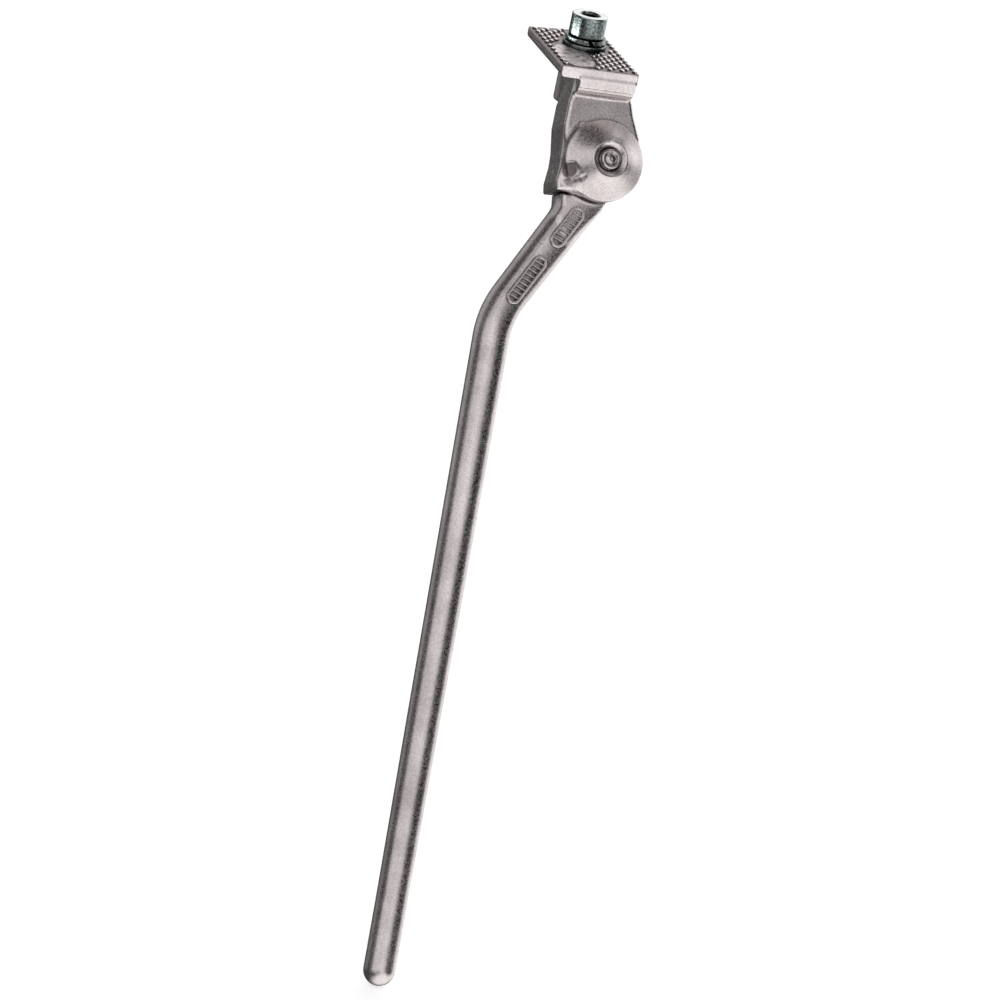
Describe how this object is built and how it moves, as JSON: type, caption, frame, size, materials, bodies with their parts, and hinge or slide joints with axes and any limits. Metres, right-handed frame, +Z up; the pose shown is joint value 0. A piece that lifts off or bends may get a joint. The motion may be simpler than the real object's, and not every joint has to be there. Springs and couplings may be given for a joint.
{
  "type": "bicycle kickstand",
  "caption": "Centre-mount bicycle kickstand: studded clamp plate on a cast housing, one bent leg on a riveted pivot with a spring detent, and an M8 clamp screw.",
  "frame": {"origin": "on the clamp screw's axis, in the plane of the washer seat on the clamp plate's top", "axes": "+X to the bicycle's rear, +Y to the bicycle's right-hand side, +Z up along the clamp screw"},
  "size_m": [0.0835, 0.1769, 0.3138],
  "materials": {
    "housing": "tumbled cast aluminium, satin",
    "leg": "tumbled forged aluminium, satin",
    "rivet": "peened steel rivet",
    "plunger": "ground steel",
    "spring": "drawn spring steel",
    "screw": "bright zinc-plated steel",
    "lock_washer": "bright zinc-plated spring steel",
    "flat_washer": "bright zinc-plated steel"
  },
  "bodies": {
    "housing": {"housing": "housing", "pivot_rivet": "rivet", "clamp_screw": "screw", "lock_washer": "lock_washer", "flat_washer": "flat_washer", "detent_spring": "spring"},
    "leg": {"leg": "leg"},
    "plunger": {"detent_plunger": "plunger"}
  },
  "joints": [
    {"name": "leg_fold", "type": "hinge", "parent": "housing", "child": "leg", "pos_m": [0.0035, -0.0256, -0.0357], "axis": [0.0315, -0.9028, 0.4289], "range_deg": [0, 100]},
    {"name": "plunger_slide", "type": "slide", "parent": "housing", "child": "plunger", "axis": [-0.015, 0.4287, 0.9033], "range_m": [-0.0009, 0.0012], "stiffness_N_per_m": 4000, "deforming": ["detent_spring"]}
  ]
}
